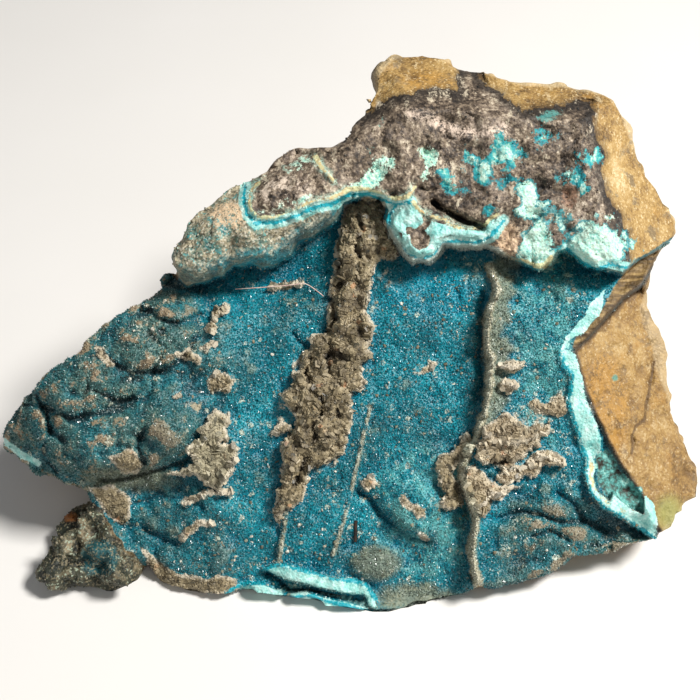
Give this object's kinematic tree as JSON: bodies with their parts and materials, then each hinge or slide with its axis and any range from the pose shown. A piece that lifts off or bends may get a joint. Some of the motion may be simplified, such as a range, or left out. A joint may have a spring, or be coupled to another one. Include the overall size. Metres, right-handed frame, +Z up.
{
  "type": "chrysocolla specimen",
  "caption": "Chrysocolla specimen: a wedge of brown matrix rock with a leaning blue druse face, resting on its flat underside.",
  "frame": {"origin": "a point on the flat underside, near its middle, on the surface the specimen rests on", "axes": "+Z up, +X along the width of the blue face from its left tip to its right corner; the blue face leans back and looks towards -Y and up"},
  "size_m": [0.102, 0.0703, 0.0535],
  "materials": {
    "rock": "rough blue-green druse over brown and ochre rock"
  },
  "bodies": {
    "root": {"chrysocolla_rock": "rock"}
  },
  "joints": []
}
